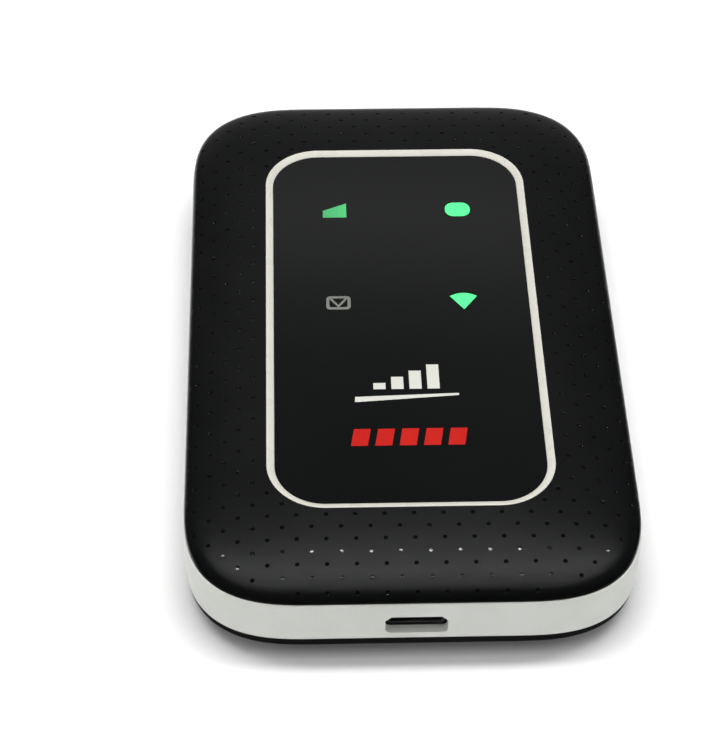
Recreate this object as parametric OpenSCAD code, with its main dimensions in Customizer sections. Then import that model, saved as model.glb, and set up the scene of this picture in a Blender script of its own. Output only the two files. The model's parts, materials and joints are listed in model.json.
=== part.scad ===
// Pocket mobile hotspot: a pebble-shaped case with a black top shell, a pale side band, a black
// clip-on rear cover and a glossy display window in an ivory ring. Inside are a circuit board, a
// removable battery, a SIM card in its holder, the antennas and the lights behind the window.
// Origin: middle of the underside. +X is the width, +Y runs to the power-button end, +Z is up.

/* [Case] */
// Width of the case, across the side band
body_w = 61.3; // [61:0.1:62]
// Length of the case, across the side band
body_l = 98.8; // [98.4:0.1:100]
// Corner size of the case's outline
corner_r = 17; // [16.5:0.1:17.5]
// Squareness of the corners, where 2 is a true arc
corner_power = 2.72; // [2.5:0.02:2.9]
// Height of the side band's lower edge above the table
band_z = 4; // [3.9:0.05:4.1]
// Height of the side band
band_h = 7.05; // [7:0.05:7.2]
// Rise of the top shell above the side band
shell_rise = 3.95; // [3.9:0.05:4.1]
// Sharpness of the rounding just inside the top shell's edge
edge_sharpness = 3.73; // [3.4:0.01:4]
// How far the side band stands proud of the shells
band_proud = 0.15; // [0.1:0.01:0.2]
// Wall of the side band
band_wall = 1.3; // [1.2:0.05:1.35]
// Wall of the top shell
shell_wall = 1.4; // [1.3:0.05:1.45]
// Wall of the rear cover
cover_wall = 1.2; // [1.1:0.05:1.25]
// Flat margin that the underside curves in by
cover_inset = 10; // [9.5:0.1:10.4]

/* [Display window] */
// Width of the ivory ring
ring_w = 38.9; // [38.5:0.1:39.2]
// Length of the ivory ring
ring_l = 72.2; // [71.5:0.1:72.6]
// Corner radius of the ivory ring
ring_r = 7.9; // [7.5:0.1:8.2]
// Width of the ring's sloped face
bevel_w = 1.1; // [1:0.05:1.2]
// Depth of the window below the ring's top
bevel_d = 0.47; // [0.4:0.01:0.55]
// Thickness of the display window
window_t = 1.2; // [1.1:0.05:1.25]
// Distance of the icons from the window's centre line
icon_x = 9.05; // [8.8:0.05:9.3]
// Place of the signal and battery icons along the window
icon_far_y = 22.8; // [22.5:0.1:23]
// Place of the message and wireless icons along the window
icon_near_y = 3.05; // [2.8:0.05:3.3]

/* [Charging socket] */
// Width of the socket's opening in the band, at its wide lower side
port_w = 8.2; // [8.1:0.05:8.4]
// Height of the socket's opening in the band
port_h = 3.2; // [3.1:0.05:3.3]
// Height of the socket's centre above the table
port_z = 6.85; // [6.85:0.01:6.86]

/* [Inside] */
// Width of the battery
battery_w = 44; // [43.5:0.1:44]
// Length of the battery
battery_l = 56; // [55.5:0.1:56]
// Thickness of the battery
battery_t = 4.7; // [4.5:0.05:4.7]
// Place of the battery's centre along the case
battery_y = -5; // [-5:0.05:-4.95]
// Thickness of the main board
board_t = 1; // [0.9:0.05:1]
// Travel of the power button
button_travel = 0.3; // [0.2:0.05:0.3]

/* [Hidden] */
$fn = 48;
corner_steps = 16;
skin_steps = 8;

case_h = band_z + band_h + shell_rise;
lip_z = band_z + band_h;
shell_w = body_w - 2 * band_proud;
shell_l = body_l - 2 * band_proud;
front_y = -body_l / 2;
back_y = body_l / 2;

// Display window stack, from the top down
window_top = case_h - bevel_d;
window_bottom = window_top - window_t;
window_gap = 0.02;
window_w = ring_w - 2 * bevel_w - 2 * window_gap;
window_l = ring_l - 2 * bevel_w - 2 * window_gap;
window_r = ring_r - bevel_w - window_gap;
adhesive_t = 0.13;
film_t = 0.1;
pocket_z = window_bottom - adhesive_t;
pocket_gap = 0.05;
tray_floor = 1;
tray_wall = 1.4;
tray_top = 14.2;
well_size = 5;
print_t = 0.03;

// Charging socket
port_chamfer = 0.9;
port_round = 0.7;
socket_round = 0.45;
socket_w = 7.5;
socket_h = 2.5;
socket_depth = 5.2;
socket_wall = 0.25;
socket_recess = 1.4;

// Rear housing, which carries the board and forms the battery bay
housing_inset = 1.4;
housing_wall = 1.2;
rim_z = 4.2;
rim_top = 8;
deck_z = 4.6;
deck_t = 0.8;
bay_gap = 0.3;
bay_wall = 1.5;
bay_bottom = 1.9;
bay_ceiling_z = 6.5;
bay_ceiling_t = 0.8;
bay_w = battery_w + 2 * bay_gap;
bay_l = battery_l + 2 * bay_gap;
battery_z = 1.6;

// Board
board_z = port_z + socket_h / 2;
board_inset = 3.05;
board_top = board_z + board_t;
screw_spots = [[23, -40], [-23, -40], [21, 44], [-21, 44]];
post_r = 1.9;
screw_r = 0.75;
screw_head_r = 1.5;
boss_top = 12.9;

// Power button and its switch at the far end
button_w = 8.7;
button_h = 2.3;
button_z = 7.5;
button_gap = 0.15;
switch_gap = 0.05;
flange_y = back_y - band_wall - 0.2;
plunger_y = 46.45;

// Reset and pairing buttons under the rear cover
service_x = 16;
service_y = -40;
service_r = 1.2;
service_travel = 0.25;

// SIM card and its holder
sim_w = 25;
sim_l = 15;
sim_t = 0.76;
sim_x = -25.5;
sim_y = 26;
sim_z = 7;
sim_travel = 16;

// Points round a rectangle whose corners are quarters of a superellipse, anticlockwise
function outline(w, l, r, power = 2) = [
    for (quarter = [0 : 3], i = [0 : corner_steps])
        let (
            a = 90 * i / corner_steps,
            c = r * pow(cos(a), 2 / power),
            s = r * pow(sin(a), 2 / power),
            hw = w / 2 - r,
            hl = l / 2 - r
        )
        quarter == 0 ? [hw + c, hl + s]
        : quarter == 1 ? [-hw - s, hl + c]
        : quarter == 2 ? [-hw - c, -hl - s]
        : [hw + s, -hl - c]
];

// The case's outline, drawn in by a distance
function case_outline(inset) =
    outline(body_w - 2 * inset, body_l - 2 * inset, corner_r - inset, corner_power);

// Lifts a flat outline to a height
function at_height(points, z) = [for (p = points) [p[0], p[1], z]];

function mix(a, b, t) = a + (b - a) * t;

// One outline of the top shell, t of the way from its lip to the display ring
function shell_ring(t, inset, rise) = at_height(
    outline(
        mix(shell_w - 2 * inset, ring_w, t),
        mix(shell_l - 2 * inset, ring_l, t),
        mix(corner_r - inset, ring_r, t),
        mix(corner_power, 2, t)
    ),
    lip_z + rise * pow(t, 1 / edge_sharpness)
);

// One outline of the rear cover, which curves in along a quarter ellipse
function cover_ring(a, inset, depth, floor_z, run) = at_height(
    outline(
        shell_w - 2 * inset - 2 * run * (1 - cos(a)),
        shell_l - 2 * inset - 2 * run * (1 - cos(a)),
        corner_r - inset - run * (1 - cos(a)) / 2,
        corner_power
    ),
    floor_z + depth * (1 - sin(a))
);

// Solid skin through a stack of outlines; a closed skin joins the last outline to the first
module skin(rings, closed = false) {
    n = len(rings[0]);
    m = len(rings);
    bands = closed ? m : m - 1;
    sides = [
        for (k = [0 : bands - 1], i = [0 : n - 1])
            let (
                a = k * n + i,
                b = ((k + 1) % m) * n + i,
                c = ((k + 1) % m) * n + (i + 1) % n,
                d = k * n + (i + 1) % n
            )
            each [[a, b, c], [a, c, d]]
    ];
    caps = closed ? [] : [
        [for (i = [0 : n - 1]) i],
        [for (i = [n - 1 : -1 : 0]) (m - 1) * n + i]
    ];
    polyhedron(points = [for (ring = rings) each ring], faces = concat(sides, caps));
}

// Upright plate or wall with the case's outline
module case_plate(inset, z, h) {
    translate([0, 0, z])
        linear_extrude(h)
            polygon(case_outline(inset));
}

module rounded_plate(w, l, r, z, h) {
    translate([0, 0, z])
        linear_extrude(h)
            polygon(outline(w, l, r));
}

// Box between two corners
module block(low, high) {
    translate(low)
        cube(high - low);
}

// Post or hole along Z
module post(x, y, r, z0, z1) {
    translate([x, y, z0])
        cylinder(r = r, h = z1 - z0);
}

// Pill along Y, its flat sides level
module pill(w, h, z, y0, y1) {
    block([-(w - h) / 2, y0, z - h / 2], [(w - h) / 2, y1, z + h / 2]);
    for (side = [-1, 1])
        translate([side * (w - h) / 2, y1, z])
            rotate([90, 0, 0])
                cylinder(d = h, h = y1 - y0);
}

// Micro-USB profile along Y: chamfered at the top, small corners at the bottom
module port_prism(w, h, chamfer, round, y0, y1) {
    translate([0, y1, port_z])
        rotate([90, 0, 0])
            linear_extrude(y1 - y0)
                polygon(concat(
                    [
                        for (side = [-1, 1], i = [0 : 6])
                            let (a = side < 0 ? 180 + 15 * i : 270 + 15 * i)
                                [
                                    side * (w / 2 - round) + round * cos(a),
                                    -h / 2 + round + round * sin(a),
                                ]
                    ],
                    [
                        [w / 2, h / 2 - chamfer],
                        [w / 2 - chamfer, h / 2],
                        [-w / 2 + chamfer, h / 2],
                        [-w / 2, h / 2 - chamfer],
                    ]
                ));
}

// Open-bottomed can of thin sheet standing on the board
module shield_can(low, high, top) {
    sheet = 0.2;
    difference() {
        block([low[0], low[1], board_top], [high[0], high[1], top]);
        block(
            [low[0] + sheet, low[1] + sheet, board_top - 1],
            [high[0] - sheet, high[1] - sheet, top - sheet]
        );
    }
}

// Stamped antenna: a top plate cut into fingers, on two legs
module stamped_antenna(low, high, top, fingers) {
    sheet = 0.2;
    slit = 0.8;
    pitch = (high[0] - low[0]) / fingers;
    difference() {
        block([low[0], low[1], top - sheet], [high[0], high[1], top]);
        for (i = [1 : fingers - 1])
            translate([low[0] + i * pitch - slit / 2, i % 2 == 0 ? low[1] - 1 : low[1] + 1.2, top - 1])
                cube([slit, high[1] - low[1] - 0.2, 2]);
    }
    for (x = [low[0], high[0] - 1.5])
        block([x, low[1], board_top], [x + 1.5, low[1] + sheet, top - sheet]);
}

module top_shell() {
    steps = [for (i = [0 : skin_steps]) pow(i / skin_steps, 3)];
    outer = [for (t = steps) shell_ring(t, 0, shell_rise)];
    inner = [
        for (i = [skin_steps : -1 : 0])
            shell_ring(steps[i], shell_wall, shell_rise - shell_wall)
    ];
    color("#1c1c1d") difference() {
        union() {
            skin(concat(outer, inner), closed = true);
            tray_blank();
            locating_lip();
            for (spot = screw_spots)
                post(spot[0], spot[1], post_r, board_top + 0.1, boss_top);
        }
        window_pocket();
        for (spot = screw_spots)
            post(spot[0], spot[1], screw_r + 0.05, board_top - 1, 12.2);
    }
}

// Tray under the display window, before its pocket is cut
module tray_blank() {
    rounded_plate(
        ring_w + 2 * tray_wall,
        ring_l + 2 * tray_wall,
        ring_r + tray_wall,
        pocket_z - tray_floor,
        tray_top - pocket_z + tray_floor
    );
}

// Lip that drops inside the side band and centres the shell on it
module locating_lip() {
    difference() {
        case_plate(band_wall + 0.1, lip_z - 1.45, 2);
        case_plate(band_wall + 0.9, lip_z - 2, 3);
    }
}

module window_pocket() {
    rounded_plate(
        ring_w + 2 * pocket_gap,
        ring_l + 2 * pocket_gap,
        ring_r + pocket_gap,
        pocket_z,
        4
    );
    for (x = [-icon_x, icon_x], y = [icon_near_y, icon_far_y])
        block(
            [x - well_size / 2, y - well_size / 2, pocket_z - 2],
            [x + well_size / 2, y + well_size / 2, pocket_z + 1]
        );
}

module bezel_ring() {
    crown = 0.12;
    inner_w = window_w + 2 * window_gap;
    inner_l = window_l + 2 * window_gap;
    inner_r = window_r + window_gap;
    rings = [
        at_height(outline(ring_w, ring_l, ring_r), pocket_z),
        at_height(outline(ring_w, ring_l, ring_r), case_h - 0.05),
        at_height(outline(ring_w - 0.1, ring_l - 0.1, ring_r - 0.05), case_h),
        at_height(outline(ring_w - 2 * crown, ring_l - 2 * crown, ring_r - crown), case_h),
        at_height(outline(inner_w, inner_l, inner_r), window_top),
        at_height(outline(inner_w, inner_l, inner_r), pocket_z)
    ];
    color("#dcd9ce") skin(rings, closed = true);
}

module display_window() {
    color("#1f2021") rounded_plate(window_w, window_l, window_r, window_bottom, window_t);
}

module window_adhesive() {
    margin = 3;
    color("#6b6b6b") difference() {
        rounded_plate(window_w - 0.4, window_l - 0.4, window_r - 0.2, pocket_z, adhesive_t);
        rounded_plate(window_w - 2 * margin, window_l - 2 * margin, 4, pocket_z - 1, 2);
    }
}

module diffuser_film() {
    color("#f2f2ec") block(
        [-icon_x - 4, icon_near_y - 4, pocket_z],
        [icon_x + 4, icon_far_y + 4, pocket_z + film_t]
    );
}

// Icons and marks are printed on the window's face
module print_layer(points) {
    translate([0, 0, window_top])
        linear_extrude(print_t)
            polygon(points);
}

module icon_signal() {
    w = 3.5;
    h = 3.1;
    short = 1.5;
    color("#5ee88d") translate([-icon_x - 0.15, icon_far_y, 0])
        print_layer([
            [-w / 2, -h / 2],
            [w / 2, -h / 2],
            [w / 2, h / 2],
            [-w / 2, short - h / 2],
        ]);
}

module icon_battery() {
    w = 3.7;
    h = 3;
    color("#66f59a") translate([icon_x + 0.1, icon_far_y - 0.05, 0])
        print_layer(outline(w, h, 1.3));
}

// Envelope: a frame with two flap strokes
module icon_message() {
    w = 3.5;
    h = 2.7;
    line = 0.45;
    flap_x = w / 2 - line / 2;
    flap_y = h / 2 - line / 2;
    color("#8d918a") translate([-icon_x, icon_near_y, window_top]) linear_extrude(print_t) {
        difference() {
            polygon(outline(w, h, 0.6));
            polygon(outline(w - 2 * line, h - 2 * line, 0.3));
        }
        polygon([
            [-flap_x, flap_y],
            [0, -2.2 * line],
            [flap_x, flap_y],
            [flap_x - line, flap_y],
            [0, -line],
            [line - flap_x, flap_y],
        ]);
    }
}

// Fan: a sector that opens away from the socket end
module icon_wireless() {
    reach = 3.3;
    half = 36;
    steps = 12;
    color("#66f59a") translate([icon_x - 0.1, icon_near_y - 1.6, 0])
        print_layer(concat(
            [[0, 0]],
            [
                for (i = [0 : steps])
                    let (a = 90 - half + 2 * half * i / steps)
                    [reach * cos(a), reach * sin(a)]
            ]
        ));
}

// Generic white mark: four rising bars and a sweep under them
module print_white() {
    bars = 4;
    bar_w = 1.7;
    pitch = 2.5;
    base = -14.2;
    color("#e8e8e6") {
        for (i = [0 : bars - 1])
            translate([-4.6 + i * pitch, base, window_top])
                cube([bar_w, 1.2 + 1.15 * i, print_t]);
        translate([0, -16.6, 0])
            print_layer([[-7.2, 0], [7.2, 1.1], [7.2, 1.5], [-7.2, 1]]);
    }
}

// Generic red mark: a row of slanted blocks
module print_red() {
    count = 5;
    pitch = 3.3;
    w = 2.3;
    h = 3.1;
    slant = 0.5;
    color("#9c2a2c")
        for (i = [0 : count - 1])
            translate([-(count - 1) * pitch / 2 + i * pitch, -23.2, 0])
                print_layer([
                    [-w / 2 - slant / 2, -h / 2],
                    [w / 2 - slant / 2, -h / 2],
                    [w / 2 + slant / 2, h / 2],
                    [-w / 2 + slant / 2, h / 2],
                ]);
}

// Black guide with a light well under each icon
module light_shroud() {
    wall = 0.7;
    web_z = 10.9;
    top = pocket_z - tray_floor - 0.1;
    outer = well_size + 2 * wall;
    color("#262626") difference() {
        union() {
            for (x = [-icon_x, icon_x], y = [icon_near_y, icon_far_y])
                block([x - outer / 2, y - outer / 2, board_top], [x + outer / 2, y + outer / 2, top]);
            block([-icon_x, icon_near_y - 2, web_z], [icon_x, icon_far_y + 2, web_z + wall]);
        }
        for (x = [-icon_x, icon_x], y = [icon_near_y, icon_far_y])
            block(
                [x - well_size / 2, y - well_size / 2, board_top - 1],
                [x + well_size / 2, y + well_size / 2, top + 1]
            );
    }
}

module status_leds() {
    color("#f4f1dc")
        for (x = [-icon_x, icon_x], y = [icon_near_y, icon_far_y])
            block([x - 0.8, y - 0.4, board_top], [x + 0.8, y + 0.4, board_top + 0.6]);
}

module side_band() {
    dish_r = 22;
    dish_d = 0.25;
    color("#cfcfc8") difference() {
        case_plate(0, band_z, band_h);
        case_plate(band_wall, band_z - 1, band_h + 2);
        port_prism(port_w, port_h, port_chamfer, port_round, front_y - 1, front_y + 3);
        pill(button_w + 2 * button_gap, button_h + 2 * button_gap, button_z, back_y - 3, back_y + 1);
        translate([0, back_y + dish_r - dish_d, button_z - 2.6])
            cylinder(r = dish_r, h = 5.2, $fn = 180);
    }
}

module power_button() {
    face = back_y - 0.25;
    color("#b9b9b2") {
        pill(button_w, button_h, button_z, flange_y - 0.8, face);
        block([-5.2, flange_y - 0.8, button_z - 1.8], [5.2, flange_y, button_z + 1.5]);
        block([-1, plunger_y, button_z - 0.5], [1, flange_y - 0.8, button_z + 0.5]);
    }
}

module power_switch() {
    tip_y = plunger_y - button_travel - switch_gap;
    color("#bfc3c6") {
        block([-2.3, tip_y - 2.5, 6.4], [2.3, tip_y - 0.3, board_z]);
        block([-0.8, tip_y - 0.3, button_z - 0.4], [0.8, tip_y, button_z + 0.4]);
    }
}

module main_board() {
    color("#0f5132") difference() {
        case_plate(board_inset, board_z, board_t);
        for (spot = screw_spots)
            post(spot[0], spot[1], screw_r + 0.25, board_z - 1, board_top + 1);
    }
}

module processor_shield() {
    color("#b8bcc0") shield_can([-18, -34], [18, -3], 11.1);
}

module radio_shield() {
    color("#b8bcc0") shield_can([-16, 29], [8, 38.5], 11.1);
}

module processor_chip() {
    color("#202224") block([-13, -30, board_top], [-1, -18, board_top + 1]);
}

module modem_chip() {
    color("#202224") block([2, -30, board_top], [13, -19, board_top + 0.9]);
}

module memory_chip() {
    color("#202224") block([-12, -15, board_top], [-2, -6.5, board_top + 0.9]);
}

module radio_chip() {
    color("#202224") block([-13, 30.5, board_top], [-6, 37, board_top + 0.8]);
}

module power_chip() {
    color("#202224") block([4, -14, board_top], [11, -7, board_top + 0.8]);
}

// Sheet-metal shell of the charging socket, open towards the case's front end
module usb_shell() {
    mouth = front_y + socket_recess;
    inner_chamfer = port_chamfer - socket_wall * 0.6;
    color("#c4c6c9") difference() {
        port_prism(socket_w, socket_h, port_chamfer, socket_round, mouth, mouth + socket_depth);
        port_prism(
            socket_w - 2 * socket_wall,
            socket_h - 2 * socket_wall,
            inner_chamfer,
            socket_round - 0.1,
            mouth - 1,
            mouth + socket_depth - 0.5
        );
    }
}

module usb_tongue() {
    mouth = front_y + socket_recess;
    color("#161616") block(
        [-1.9, mouth + 0.8, port_z + 0.1],
        [1.9, mouth + socket_depth - 0.5, port_z + 0.65]
    );
}

module usb_contacts() {
    count = 5;
    pitch = 0.65;
    mouth = front_y + socket_recess;
    color("#d4af37")
        for (i = [0 : count - 1])
            translate([(i - (count - 1) / 2) * pitch - 0.15, mouth + 1, port_z + 0.02])
                cube([0.3, socket_depth - 1.5, 0.08]);
}

module main_antenna() {
    color("#c98a4b") stamped_antenna([-18, -46], [18, -38.8], 11.2, 12);
}

module diversity_antenna() {
    color("#c98a4b") stamped_antenna([-16, 39.6], [16, 45.2], 11.2, 10);
}

module wireless_antenna() {
    color("#c98a4b") stamped_antenna([21.5, -12], [26.5, -4], 11.2, 3);
}

module rear_housing() {
    color("#3a3b3d") difference() {
        union() {
            difference() {
                case_plate(housing_inset, rim_z, rim_top - rim_z);
                case_plate(housing_inset + housing_wall, rim_z - 1, rim_top);
            }
            case_plate(housing_inset + 0.2, deck_z, deck_t);
            bay_blank();
            for (spot = screw_spots)
                post(spot[0], spot[1], post_r, deck_z, board_z);
        }
        translate([0, battery_y, 0])
            rounded_plate(bay_w, bay_l, 2 + bay_gap, 0, bay_ceiling_z);
        housing_cuts();
        for (spot = screw_spots)
            post(spot[0], spot[1], screw_r + 0.1, 0, board_z + 1);
        for (side = [-1, 1])
            post(side * service_x, service_y, service_r + 0.15, 0, deck_z + deck_t + 0.1);
        cover_tabs(0.3);
    }
}

// Walls and ceiling of the battery bay, before the bay is cut
module bay_blank() {
    translate([0, battery_y, 0])
        rounded_plate(
            bay_w + 2 * bay_wall,
            bay_l + 2 * bay_wall,
            2 + bay_gap + bay_wall,
            bay_bottom,
            bay_ceiling_z + bay_ceiling_t - bay_bottom
        );
}

// Openings for the socket, the power button, the SIM card and the battery connector
module housing_cuts() {
    block([-4.6, front_y, deck_z + deck_t], [4.6, -45.5, rim_top + 1]);
    block([-6, 45.5, deck_z + deck_t], [6, back_y, rim_top + 1]);
    block([sim_x - 0.6, sim_y - 0.6, deck_z - 1], [sim_x + sim_w + sim_travel + 1, sim_y + sim_l + 0.6, 7]);
    block([5.7, -37, deck_z - 1], [18.3, -33, board_z]);
}

module housing_screws() {
    color("#9ea3a8")
        for (spot = screw_spots) {
            post(spot[0], spot[1], screw_r, deck_z, 12);
            difference() {
                post(spot[0], spot[1], screw_head_r, deck_z - 0.9, deck_z);
                for (turn = [0, 90])
                    translate([spot[0], spot[1], deck_z - 0.9])
                        rotate([0, 0, turn])
                            cube([1.8, 0.35, 0.8], center = true);
            }
        }
}

module rating_label() {
    color("#e9e9e6") translate([0, battery_y, 0])
        rounded_plate(34, 44, 1.5, bay_ceiling_z - 0.1, 0.1);
}

// Thin steel cage soldered under the board, open at the side where the card slides out
module sim_holder() {
    sheet = 0.2;
    gap = 0.15;
    low = [sim_x - 0.4, sim_y - 0.4, sim_z - 0.35];
    high = [sim_x + 17, sim_y + sim_l + 0.4, board_z];
    color("#c4c6c9") difference() {
        block(low, high);
        block(
            [sim_x - gap, sim_y - gap, sim_z - gap],
            [high[0] + 1, sim_y + sim_l + gap, high[2] - sheet]
        );
        block([sim_x + 5, sim_y + 3, low[2] - 1], [high[0] + 1, sim_y + sim_l - 3, sim_z]);
    }
}

// Card with one cut corner
module sim_card() {
    notch = 3;
    color("#f3f3f0") translate([sim_x, sim_y, sim_z])
        linear_extrude(sim_t)
            polygon([[0, 0], [sim_w, 0], [sim_w, sim_l - notch], [sim_w - notch, sim_l], [0, sim_l]]);
}

// Three sprung blades in a block at the end of the battery bay
module battery_connector() {
    wall_y = battery_y - battery_l / 2;
    color("#2b2b2b") block([6, wall_y - 3.6, 4.6], [18, wall_y - 0.5, board_z]);
    color("#d4af37")
        for (i = [0 : 2])
            block([7.6 + 3.4 * i, wall_y - 0.5, 4.9], [9.6 + 3.4 * i, wall_y - 0.15, 6]);
}

module battery_pack() {
    color("#2a2c2f") translate([0, battery_y, 0])
        rounded_plate(battery_w, battery_l, 2, battery_z, battery_t);
}

module battery_terminals() {
    wall_y = battery_y - battery_l / 2;
    color("#d4af37")
        for (i = [0 : 2])
            block([7.4 + 3.4 * i, wall_y - 0.05, 4.7], [9.8 + 3.4 * i, wall_y, 6.1]);
}

module battery_label() {
    color("#8c9094") translate([0, battery_y, 0])
        rounded_plate(battery_w - 4, battery_l - 4, 1.5, battery_z - 0.1, 0.1);
}

// Low switch soldered under the board above a service button
module service_switch(x) {
    block([x - 1.6, service_y - 1.4, 7.3], [x + 1.6, service_y + 1.4, board_z]);
}

module reset_switch() {
    color("#bfc3c6") service_switch(service_x);
}

module pairing_switch() {
    color("#bfc3c6") service_switch(-service_x);
}

// Round button with a flange above the deck and a stem up to its switch
module service_button(x) {
    flange_z = deck_z + deck_t + 0.05;
    post(x, service_y, service_r, deck_z - 0.4, flange_z + 0.4);
    post(x, service_y, service_r + 0.7, flange_z, flange_z + 0.4);
    post(x, service_y, 0.6, flange_z, 7.3 - service_travel - 0.05);
}

module reset_button() {
    color("#b33a3a") service_button(service_x);
}

module pairing_button() {
    color("#5a7fa8") service_button(-service_x);
}

// Tabs that stand up from the rear cover into notches of the rear housing
module cover_tabs(clearance) {
    tab_w = 4 + 2 * clearance;
    tab_t = 1.1;
    tab_top = 5.6 + clearance;
    x = body_w / 2 - band_wall - 0.15;
    y = body_l / 2 - band_wall - 0.15;
    for (side = [-1, 1]) {
        for (place = [-24, 0, 24])
            translate([side * (x - tab_t / 2), place, 0])
                translate([-tab_t / 2 - clearance, -tab_w / 2, 2.2])
                    cube([tab_t + 2 * clearance, tab_w, tab_top - 2.2]);
        for (place = [-11, 11])
            translate([place, side * (y - tab_t / 2), 0])
                translate([-tab_w / 2, -tab_t / 2 - clearance, 2.2])
                    cube([tab_w, tab_t + 2 * clearance, tab_top - 2.2]);
    }
}

module rear_cover() {
    edge = 0.8;
    steps = [for (i = [0 : skin_steps]) 90 * i / skin_steps];
    outer = [
        for (i = [skin_steps : -1 : 0])
            cover_ring(steps[i], 0, band_z - edge, 0, cover_inset)
    ];
    rim = at_height(case_outline(band_proud), band_z);
    inner = [
        for (a = steps)
            cover_ring(a, cover_wall, band_z - cover_wall, cover_wall, cover_inset - 0.4)
    ];
    color("#232324") difference() {
        union() {
            skin(concat(outer, [rim], inner));
            cover_tabs(0);
        }
        translate([-5, back_y, band_z + 0.1])
            rotate([0, 90, 0])
                cylinder(r = 1, h = 10);
    }
}

top_shell();
bezel_ring();
display_window();
window_adhesive();
diffuser_film();
icon_signal();
icon_battery();
icon_message();
icon_wireless();
print_white();
print_red();
light_shroud();
status_leds();
side_band();
power_button();
power_switch();
main_board();
processor_shield();
radio_shield();
processor_chip();
modem_chip();
memory_chip();
radio_chip();
power_chip();
usb_shell();
usb_tongue();
usb_contacts();
main_antenna();
diversity_antenna();
wireless_antenna();
rear_housing();
housing_screws();
rating_label();
sim_holder();
sim_card();
battery_connector();
battery_pack();
battery_terminals();
battery_label();
reset_switch();
pairing_switch();
reset_button();
pairing_button();
rear_cover();
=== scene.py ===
import json
import math

import bmesh
import bpy
import numpy as np
from mathutils import Matrix, Vector, geometry

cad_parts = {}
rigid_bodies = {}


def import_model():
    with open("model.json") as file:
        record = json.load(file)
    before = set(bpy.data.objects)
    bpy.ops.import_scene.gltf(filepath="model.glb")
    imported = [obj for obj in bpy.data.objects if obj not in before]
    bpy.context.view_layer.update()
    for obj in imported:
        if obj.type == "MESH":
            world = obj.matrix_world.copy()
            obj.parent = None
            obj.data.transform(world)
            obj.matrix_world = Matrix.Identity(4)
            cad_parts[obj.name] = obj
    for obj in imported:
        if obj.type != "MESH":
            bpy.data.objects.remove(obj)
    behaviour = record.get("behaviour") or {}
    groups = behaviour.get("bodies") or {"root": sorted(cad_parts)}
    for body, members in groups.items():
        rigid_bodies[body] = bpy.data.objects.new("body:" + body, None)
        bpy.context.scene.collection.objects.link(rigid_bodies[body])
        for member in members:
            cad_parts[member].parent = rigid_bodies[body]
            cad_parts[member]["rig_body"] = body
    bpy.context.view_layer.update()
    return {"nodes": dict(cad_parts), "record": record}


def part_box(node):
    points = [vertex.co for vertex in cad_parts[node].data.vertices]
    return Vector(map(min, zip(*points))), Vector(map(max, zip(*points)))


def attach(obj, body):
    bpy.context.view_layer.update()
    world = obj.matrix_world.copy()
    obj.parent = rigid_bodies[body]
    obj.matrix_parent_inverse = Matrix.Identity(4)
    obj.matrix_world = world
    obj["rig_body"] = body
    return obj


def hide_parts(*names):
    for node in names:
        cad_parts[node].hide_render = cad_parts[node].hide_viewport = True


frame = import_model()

# Looks of a pocket mobile hotspot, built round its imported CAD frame. Shapes are worked out in
# millimetres, and MM turns them into the frame's metres when a mesh is made.
MM = 0.001


def node_box(node):
    """Lowest and highest corner of a CAD node, in millimetres."""
    low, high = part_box(node)
    return np.array(low) / MM, np.array(high) / MM


# Driving dimensions: read from the frame where it holds them, else as the CAD source names them
SHELL_LOW, SHELL_HIGH = node_box("top_shell")
BAND_LOW, BAND_HIGH = node_box("side_band")
RING_LOW, RING_HIGH = node_box("bezel_ring")
WINDOW_LOW, WINDOW_HIGH = node_box("display_window")
COVER_TOP = node_box("rear_cover")[1][2]
BUTTON_LOW, BUTTON_HIGH = node_box("power_button")
PORT_LOW, PORT_HIGH = node_box("usb_shell")

SHELL_W, SHELL_L = (SHELL_HIGH - SHELL_LOW)[:2]
BAND_W, BAND_L = (BAND_HIGH - BAND_LOW)[:2]
RING_W, RING_L = (RING_HIGH - RING_LOW)[:2]
WINDOW_W = (WINDOW_HIGH - WINDOW_LOW)[0]
LIP_Z = BAND_HIGH[2]
RING_TOP = RING_HIGH[2]
WINDOW_TOP = WINDOW_HIGH[2]
SHELL_RISE = RING_TOP - LIP_Z
PORT_Z = (PORT_LOW[2] + PORT_HIGH[2]) / 2

CORNER_R = 17.0
CORNER_POWER = 2.72
RING_R = 7.9
BEVEL_W = (RING_W - WINDOW_W) / 2
EDGE_SHARPNESS = 3.73
SHELL_WALL = 1.4
BAND_WALL = 1.3
COVER_WALL = 1.2
COVER_INSET = 10.0
ICONS_LEFT = node_box("icon_signal")[0][0]
ICONS_RIGHT = node_box("icon_battery")[0][0]

# Points round an outline: in each corner and along each long and short side
CORNER_STEPS = 24
LONG_STEPS = 46
SHORT_STEPS = 20
# An edge that turns by more than this is drawn sharp where a piece asks for it
SHARP_TURN = math.radians(50)


# ---------------------------------------------------------------- meshes

def outline(w, l, r, power=2.0, scale=1):
    """Points round a rectangle with superelliptic corners, anticlockwise, sides divided too."""
    hw, hl = w / 2 - r, l / 2 - r
    a = np.linspace(0, math.pi / 2, CORNER_STEPS * scale + 1)
    c, s = r * np.cos(a).clip(0) ** (2 / power), r * np.sin(a).clip(0) ** (2 / power)
    corners = [
        np.stack([hw + c, hl + s], 1),
        np.stack([-hw - s, hl + c], 1),
        np.stack([-hw - c, -hl - s], 1),
        np.stack([hw + s, -hl - c], 1),
    ]
    sides = [SHORT_STEPS, LONG_STEPS, SHORT_STEPS, LONG_STEPS]
    points = []
    for i, corner in enumerate(corners):
        end, start = corner[-1], corners[(i + 1) % 4][0]
        t = np.linspace(0, 1, sides[i] * scale + 1)[1:-1, None]
        points += [corner, end + (start - end) * t]
    return np.concatenate(points)


def at_height(points, z):
    """Plan points lifted to one height."""
    return np.column_stack([points, np.full(len(points), float(z))])


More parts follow.
